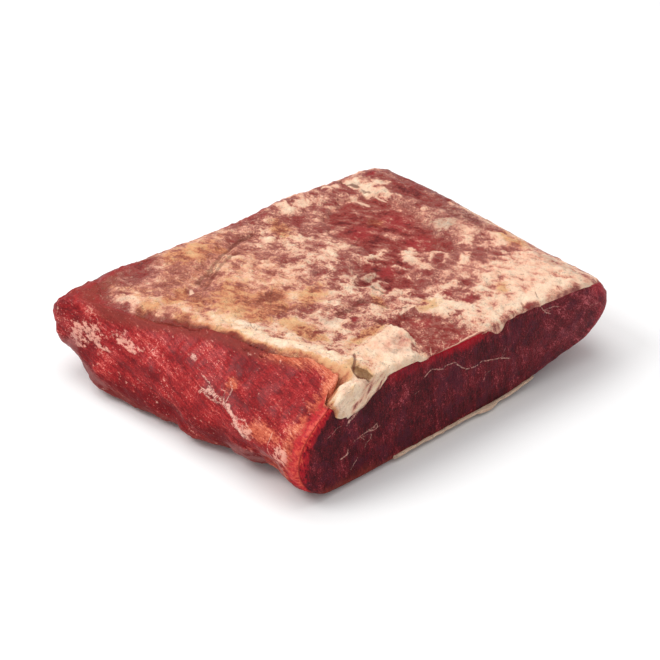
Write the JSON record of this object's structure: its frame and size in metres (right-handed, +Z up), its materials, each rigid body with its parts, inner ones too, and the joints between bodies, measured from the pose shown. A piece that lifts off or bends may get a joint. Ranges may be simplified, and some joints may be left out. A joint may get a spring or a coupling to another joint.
{
  "type": "beef flank",
  "caption": "Thick block of raw beef flank, cut clean across the near side, with a cap of fat and silverskin over the top that leaves windows of bare muscle.",
  "frame": {"origin": "on the surface that the block lies on, under the middle of its box", "axes": "+X along the cut face, from the fat-draped corner to the tapering end; +Y from the cut face to the back; +Z up, out of the fat cap"},
  "size_m": [0.2148, 0.1656, 0.0498],
  "materials": {
    "muscle": "raw red muscle, moist, with fine fibres",
    "fat": "cream fat and thin silverskin, moist, stained brown in places"
  },
  "bodies": {
    "root": {"lean": "muscle", "fat_cap": "fat", "fat_lip": "fat"}
  },
  "joints": []
}
